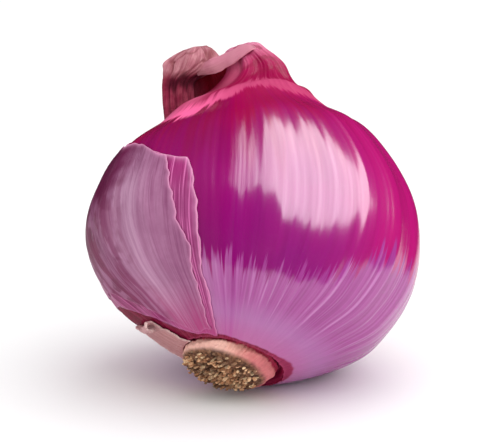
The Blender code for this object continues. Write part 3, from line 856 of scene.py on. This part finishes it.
def makeStubs(finish):
    draw = np.random.default_rng(7)
    points, faces, tones, ends = [], [], [], []
    for k in range(root["stubs"]):
        share = math.sqrt((k + 0.5) / root["stubs"])
        angle = k * math.radians(137.508) + draw.uniform(-0.25, 0.25)
        radius = root["radius"] * root["stubReach"] * share
        splay = root["splay"] * share + draw.uniform(-0.25, 0.25)
        sway = draw.uniform(-0.5, 0.5)
        width = draw.uniform(*root["stubRadius"])
        length = draw.uniform(*root["stubLengths"]) * (1.0 - 0.25 * share)
        surface = root["top"] - root["height"] * (1 - root["fall"] * share**5)
        foot = Vector(turned(radius, angle, surface + root["stubSink"]))
        heading = Vector(turned(math.sin(splay), angle + sway, -math.cos(splay)))
        drift = Vector((draw.uniform(-1, 1), draw.uniform(-1, 1), 0)) * 0.25
        reach = length + root["stubSink"]
        path = [foot + (heading + drift * step) * reach * step for step in (0, 0.4, 0.75, 1.0)]
        radii = [width * 1.15, width, width * draw.uniform(0.75, 1.0), width * draw.uniform(0.55, 0.9)]
        made, walls = tubeParts(path, radii, root["sides"], len(points))
        points += made
        faces += walls
        tones += [draw.uniform(0, 1)] * len(made)
        ends += list(np.repeat([0.0, 0.3, 0.7, 1.0], root["sides"]))
    points = plateShape(np.array([list(p) for p in points]))
    newPiece("root_stubs", points, faces, finish, (), {"tone": tones, "endShare": ends})


def corkyRoot():
    made, shader, read = newMaterial("corkyRoot")
    place = read("skinPlace", "Vector")
    across = addNode(shader.id_data, "ShaderNodeSeparateXYZ", {0: place}).outputs["X"]
    down = read("downShare")
    fibres = streaked(place, 14, 2, 31)
    specks = mottled(shader, 0.0009, 33)
    soft = mottled(shader, 0.003, 35)
    lumps = mottled(shader, 0.0016, 37)
    centre = mixed(specks, (0.26, 0.11, 0.05), (0.055, 0.016, 0.007))
    foot = plus(down, spread(lumps, 0, 1, -0.04, 0.04))
    colour = coated(
        mixed(fibres, (0.82, 0.36, 0.26), (0.62, 0.2, 0.16)),
        ((0.88, 0.42, 0.35), soft, 0.55),
        ((0.4, 0.14, 0.09), lumps, 0.42),
        ((0.66, 0.15, 0.18), spread(across, -0.1, 0.8, 0, 0.75)),
        # paler on the top left: painted light, where the plate's edge lies in shade under the bulb
        ((1, 0.58, 0.48), spread(across, 0.5, -0.2, 0, 0.85)),
        (centre, spread(down, 0.6, 0.82)),
        ((0.45, 0.012, 0.065), spread(foot, 0.3, 0.18, 0, 0.96)),
    )
    setInputs(shader, {
        "Base Color": colour,
        "Roughness": spread(specks, 0, 1, 0.72, 0.9),
        "Normal": embossed(plus(fibres, times(specks, 0.8)), 0.8, 0.0002),
    })
    return made


def stubRoot():
    made, shader, read = newMaterial("stubRoot")
    specks = mottled(shader, 0.0006, 41)
    patches = mottled(shader, 0.0026, 71)
    colour = ramped(read("tone"), [
        (0.0, (0.11, 0.034, 0.013)), (0.3, (0.54, 0.25, 0.115)), (0.65, (0.86, 0.5, 0.275)),
        (1.0, (0.95, 0.68, 0.4)),
    ])
    colour = coated(
        colour,
        ((0.075, 0.026, 0.01), spread(patches, 0.45, 0.9, 0, 0.75)),
        # painted shade: darker towards each stub's foot, in the gaps between the stubs
        ((0.095, 0.032, 0.014), spread(read("endShare"), 0.75, 0)),
        ((0.12, 0.06, 0.025), specks, 0.35),
    )
    setInputs(shader, {"Base Color": colour, "Roughness": 0.85, "Normal": embossed(specks, 0.6, 0.0001)})
    return made


print("root plate")
makePlate(corkyRoot())
makeStubs(stubRoot())

# Dried leaf bases on the left of the neck, with a pale cap, and a twisted strip over to the lobe
leaf = {
    "rings": [  # centre x, y, z, half widths across and deep, lean in degrees
        (-0.0127, 0.0, 0.025, 0.0031, 0.0033, -8.0),
        (-0.0126, 0.0, 0.0284, 0.003, 0.0031, -4.0),
        (-0.0121, 0.0, 0.0314, 0.0029, 0.003, 2.0),
        (-0.0112, -0.0002, 0.0336, 0.0033, 0.0033, 8.0),
        (-0.0091, -0.0004, 0.0352, 0.0046, 0.0039, 16.0),
        (-0.0078, -0.0004, 0.0369, 0.0053, 0.004, 14.0),
        (-0.0069, -0.0002, 0.0386, 0.0042, 0.0033, 10.0),
        (-0.0062, 0.0, 0.0397, 0.0023, 0.0019, 8.0),
    ],
    "flutes": (5, 0.1, 2.45),
    "columns": 140,
    "rows": 120,
    "strip": [
        (-0.0076, -0.0028, 0.0345), (-0.0048, -0.0036, 0.0344), (-0.0024, -0.0034, 0.0349),
        (-0.0004, -0.0034, 0.0354), (0.0014, -0.0031, 0.0361), (0.003, -0.0024, 0.0368),
        (0.0042, -0.0014, 0.037),
    ],
    "stripRows": 70,
    "stripColumns": 14,
    "stripWidths": (0.0027, 0.0015),
    "stripTurns": (math.radians(78.0), math.radians(150.0)),
    "stripThickness": 0.0003,
    "sheathAcross": (-0.0125, 0.001),
    "sheathBack": 0.0009,
    "sheathBulge": 0.0024,
    "sheathHeights": (0.0255, 0.0381),
    "sheathDrop": 0.0013,
    "sheathThickness": 0.0006,
    "sheathRows": 70,
}


def makeLeafBases(finish):
    place, degrees = roundGrid(leaf["rows"], leaf["columns"])
    rings = curveThrough(leaf["rings"], place)
    angle = np.radians(degrees)
    count, depth, twist = leaf["flutes"]
    folds = 0.07 * np.cos(11 * angle + 5 * place + 2) + 0.045 * np.cos(23 * angle - 7 * place)
    stem = 1 - blendStep(0.4, 0.6, place)
    upright = np.abs(np.sin(1.5 * angle + 3 * place + 0.6 * np.sin(5 * angle))) ** 24
    level = np.abs(np.sin(9 * place + 1.2 * np.sin(2 * angle) + 0.5 * np.sin(7 * angle))) ** 30
    cracks = 0.07 * upright + 0.06 * level
    flute = 1 + depth * np.cos(count * angle + twist * place) + folds * (0.45 + 0.55 * stem)
    flute = flute - cracks * (1 - stem)
    x = rings[..., 3] * np.cos(angle) * flute
    y = rings[..., 4] * np.sin(angle) * flute
    lean = np.radians(rings[..., 5])
    points = [rings[..., 0] + x * np.cos(lean), rings[..., 1] + y, rings[..., 2] - x * np.sin(lean)]
    points = np.stack(points, -1)
    points = withEnds(points, points[0].mean(0), points[-1].mean(0) + (0, 0, 0.0002))
    uneven = place + 0.03 * np.sin(7 * angle + 2) + 0.02 * np.sin(13 * angle)
    # painted shade on the column just under the cap's overhang
    capOverhangShade = blendStep(0.25, 0.35, uneven) * (1 - blendStep(0.42, 0.52, uneven))
    capOverhangShade = capOverhangShade * blendStep(-0.45, 0.3, np.cos(angle + math.radians(42.0)))
    none = np.zeros(len(points))
    newPiece("leaf_bases", inPlace(points), cappedFaces(*place.shape), finish, ("neck_stub",), {
        "skinPlace": withEnds(turned(1, angle, place * 2), (0, 0, 0), (0, 0, 2)),
        "capShare": withEnds(blendStep(0.42, 0.56, place + 0.03 * np.sin(3 * angle)), 0, 1),
        "crack": withEnds(cracks * 11),
        "fold": withEnds(folds * 8),
        "capOverhangShade": withEnds(capOverhangShade),
        "deep": none,
        "rosy": none,
    })


def makeStrip(finish):
    down, across = sheetGrid(leaf["stripRows"], leaf["stripColumns"])
    across = 2 * across - 1
    steps = (np.clip(down + step, 0, 1) for step in (0, -0.01, 0.01))
    line, before, after = (curveThrough(leaf["strip"], place) for place in steps)
    ahead = unit(after - before)
    sideways = unit(np.cross(ahead, (0, 0, 1)))
    upward = np.cross(sideways, ahead)
    turn = between(leaf["stripTurns"], down)[..., None]
    flat = sideways * np.cos(turn) + upward * np.sin(turn)
    face = upward * np.cos(turn) - sideways * np.sin(turn)
    width = between(leaf["stripWidths"], down) * (0.45 + 0.55 * blendStep(0.0, 0.3, down))
    width = width * (1 - 0.35 * np.sin(down * math.pi)) * (1 + 0.06 * ragged(down, 3.0))
    middle = line + flat * (across * width)[..., None] + face * (0.0004 * across**2)[..., None]
    half = face * leaf["stripThickness"] / 2
    newShell("twisted_strip", middle + half, middle - half, finish, (), {
        "skinPlace": np.stack([across * 1.5, np.zeros_like(across), down * 2], -1),
        "capShare": 1.0,
        "fold": np.cos(5 * across + 3) * 0.15,
        "rosy": blendStep(-0.2, 0.45, down + 0.1 * np.sin(3 * across)),
        "crack": 0.0,
        "deep": 0.0,
        "capOverhangShade": 0.0,
    })


def makeSheath(finish):  # closes the hollow at the back, from the leaf bases over to the drawn-up neck
    up, across = sheetGrid(leaf["sheathRows"], leaf["sheathRows"])
    folds = 0.00022 * np.sin(17 * across + 2 * up) + 0.00012 * np.sin(41 * across)
    y = leaf["sheathBack"] + leaf["sheathBulge"] * np.sin(math.pi * across) + folds
    foot, tip = leaf["sheathHeights"]
    top = tip - leaf["sheathDrop"] * across**2 + 0.00015 * ragged(across * 2, 1.4)
    front = np.stack([between(leaf["sheathAcross"], across), y, between((foot, top), up)], -1)
    back = front + (0, leaf["sheathThickness"], 0)
    newShell("neck_sheath", front, back, finish, (), {
        "skinPlace": np.stack([across * 3, np.zeros_like(across), up * 2], -1),
        "deep": (blendStep(0.16, 0.5, across + 0.04 * np.sin(9 * up)), 0.0),
        "fold": np.sin(17 * across + 2 * up) * 0.6,
        "capShare": 0.0,
        "crack": 0.0,
        "rosy": 0.0,
        "capOverhangShade": 0.0,
    })


def driedLeaf():
    made, shader, read = newMaterial("driedLeaf")
    place = read("skinPlace", "Vector")
    capShare = read("capShare")
    medium = streaked(place, 7, 0.8, 51)
    fine = streaked(place, 24, 2, 53)
    spots = mottled(shader, 0.0016, 55)
    cap = coated(
        mixed(medium, (0.56, 0.215, 0.265), (0.41, 0.125, 0.17)),
        ((0.66, 0.32, 0.345), spots, 0.45),
        ((0.28, 0.06, 0.08), spread(fine, 0.4, 1), 0.4),
    )
    colour = coated(
        mixed(medium, (0.28, 0.012, 0.055), (0.15, 0.003, 0.022)),
        ((0.36, 0.045, 0.095), fine, 0.35),
        ((0.44, 0.085, 0.13), spots, 0.35),
        (cap, capShare),
        ((0.26, 0.065, 0.075), capShare, spread(read("crack"), 0.15, 0.8), 0.7),
        # painted shade: darker in the valleys of the folds
        ((0.2, 0.015, 0.045), spread(read("fold"), 0, -0.7), spread(capShare, 0, 1, 0.5, 0.32)),
        # painted shade under the cap's overhang
        ((0.06, 0.001, 0.01), read("capOverhangShade"), 0.85),
        ((0.3, 0.0004, 0.017), read("deep")),
        ((0.72, 0.25, 0.36), read("rosy"), 0.75),
    )
    setInputs(shader, {
        "Base Color": colour,
        "Roughness": spread(fine, 0, 1, 0.62, 0.8),
        "Specular IOR Level": 0.08,
        "Normal": embossed(plus(fine, times(spots, 0.6)), 0.7, 0.00015),
    })
    return made


print("neck")
dried = driedLeaf()
makeLeafBases(dried)
makeSheath(dried)
makeStrip(dried)

# Table, lights and camera
studio = {
    "tableSize": 6.0,
    "tableWhite": 0.9,
    "boxTowards": (0.512, -0.182, 0.816),
    "boxDistance": 0.6,
    "boxSize": 1.0,
    "boxGlow": 5.3,  # as the glossy skin mirrors it
    "boxFill": 1.1,  # as it lights the surfaces
    "fillDistance": 0.54,
    "skyFill": 0.9,
    "skyMirrored": 0.008,
    "skySeen": 1.2,
    "sheet": (-0.15, 0.1, -0.065, 0.13),  # what the black card leaves white: left, right, front, back
    "teeth": (0.003, 0.0045),  # width and depth of the rag of its front edge
    "cardHeight": 0.0012,
    "picture": (500, 442),
    "lens": 250.0,
    "elevation": math.radians(15.0),
    "frameHeight": 0.086,
    "aim": (-0.0038, -0.0047, 0.0315),
}


def makeTable():
    made, shader = newMaterial("whiteTable")[:2]
    white = (studio["tableWhite"],) * 3 + (1.0,)
    setInputs(shader, {"Base Color": white, "Roughness": 0.9, "Specular IOR Level": 0.0})
    bpy.ops.mesh.primitive_plane_add(size=studio["tableSize"], location=(0, 0, 0))
    table = bpy.context.object
    table.name = "table"
    table.data.materials.append(made)


def makeDarkCard():  # black card on the table round a white sheet, seen only in the skin's gloss
    made, shader = newMaterial("blackCard")[:2]
    setInputs(shader, {"Base Color": (0.01, 0.01, 0.01, 1.0), "Specular IOR Level": 0.0})
    left, right, front, back = studio["sheet"]
    far = studio["tableSize"] / 2
    width, depth = studio["teeth"]
    draw = np.random.default_rng(3)
    count = int((right - left) / width)
    edge = []
    for k in range(count + 1):
        edge.append((left + (right - left) * k / count, front + draw.uniform(-depth, depth)))
    points = edge + [(x, -far) for x, y in edge]
    faces = [(k, k + 1, count + 2 + k, count + 1 + k) for k in range(count)]
    plain = ((-far, left, -far, far), (right, far, -far, far), (left, right, back, far))
    for low, high, near, rear in plain:
        faces.append(tuple(range(len(points), len(points) + 4)))
        points += [(low, near), (high, near), (high, rear), (low, rear)]
    mesh = bpy.data.meshes.new("black_card")
    mesh.from_pydata([(x, y, studio["cardHeight"]) for x, y in points], [], faces)
    mesh.materials.append(made)
    card = placed("black_card", mesh)
    card.visible_camera = False
    card.visible_diffuse = False
    card.visible_shadow = False


def aimed(piece, towards, distance):  # sets it that way from the middle of the view, looking back at it
    piece.location = Vector(studio["aim"]) + towards * distance
    piece.rotation_euler = towards.to_track_quat("Z", "Y").to_euler()


def makeBox(name, glow, glossy, distance):
    light = bpy.data.lights.new(name, "AREA")
    light.shape = "SQUARE"
    light.size = studio["boxSize"]
    light.energy = glow * math.pi * studio["boxSize"] ** 2
    box = placed(name, light)
    aimed(box, Vector(studio["boxTowards"]).normalized(), distance)
    box.visible_camera = False
    box.visible_glossy = glossy
    box.visible_diffuse = not glossy


def makeSky():
    sky = bpy.data.worlds.new("sky")
    sky.use_nodes = True
    bpy.context.scene.world = sky
    path = addNode(sky.node_tree, "ShaderNodeLightPath").outputs
    mirrored = times(path["Is Glossy Ray"], studio["skyMirrored"] - studio["skyFill"])
    seen = times(path["Is Camera Ray"], studio["skySeen"] - studio["skyFill"])
    strength = plus(plus(mirrored, studio["skyFill"]), seen)
    setInputs(sky.node_tree.nodes["Background"], {"Color": (1, 1, 1, 1), "Strength": strength})


def makeCamera():
    lens = bpy.data.cameras.new("camera")
    lens.lens = studio["lens"]
    lens.sensor_width = 36.0
    lens.clip_end = 20.0
    camera = placed("camera", lens)
    across, down = studio["picture"]
    frameWidth = studio["frameHeight"] * across / down
    back = Vector((0, -math.cos(studio["elevation"]), math.sin(studio["elevation"])))
    aimed(camera, back, frameWidth * studio["lens"] / lens.sensor_width)
    bpy.context.scene.camera = camera


print("studio")
makeTable()
makeDarkCard()
makeBox("soft_box_glow", studio["boxGlow"], True, studio["boxDistance"])
makeBox("soft_box_fill", studio["boxFill"], False, studio["fillDistance"])
makeSky()
makeCamera()
bpy.context.scene.view_settings.view_transform = "Standard"
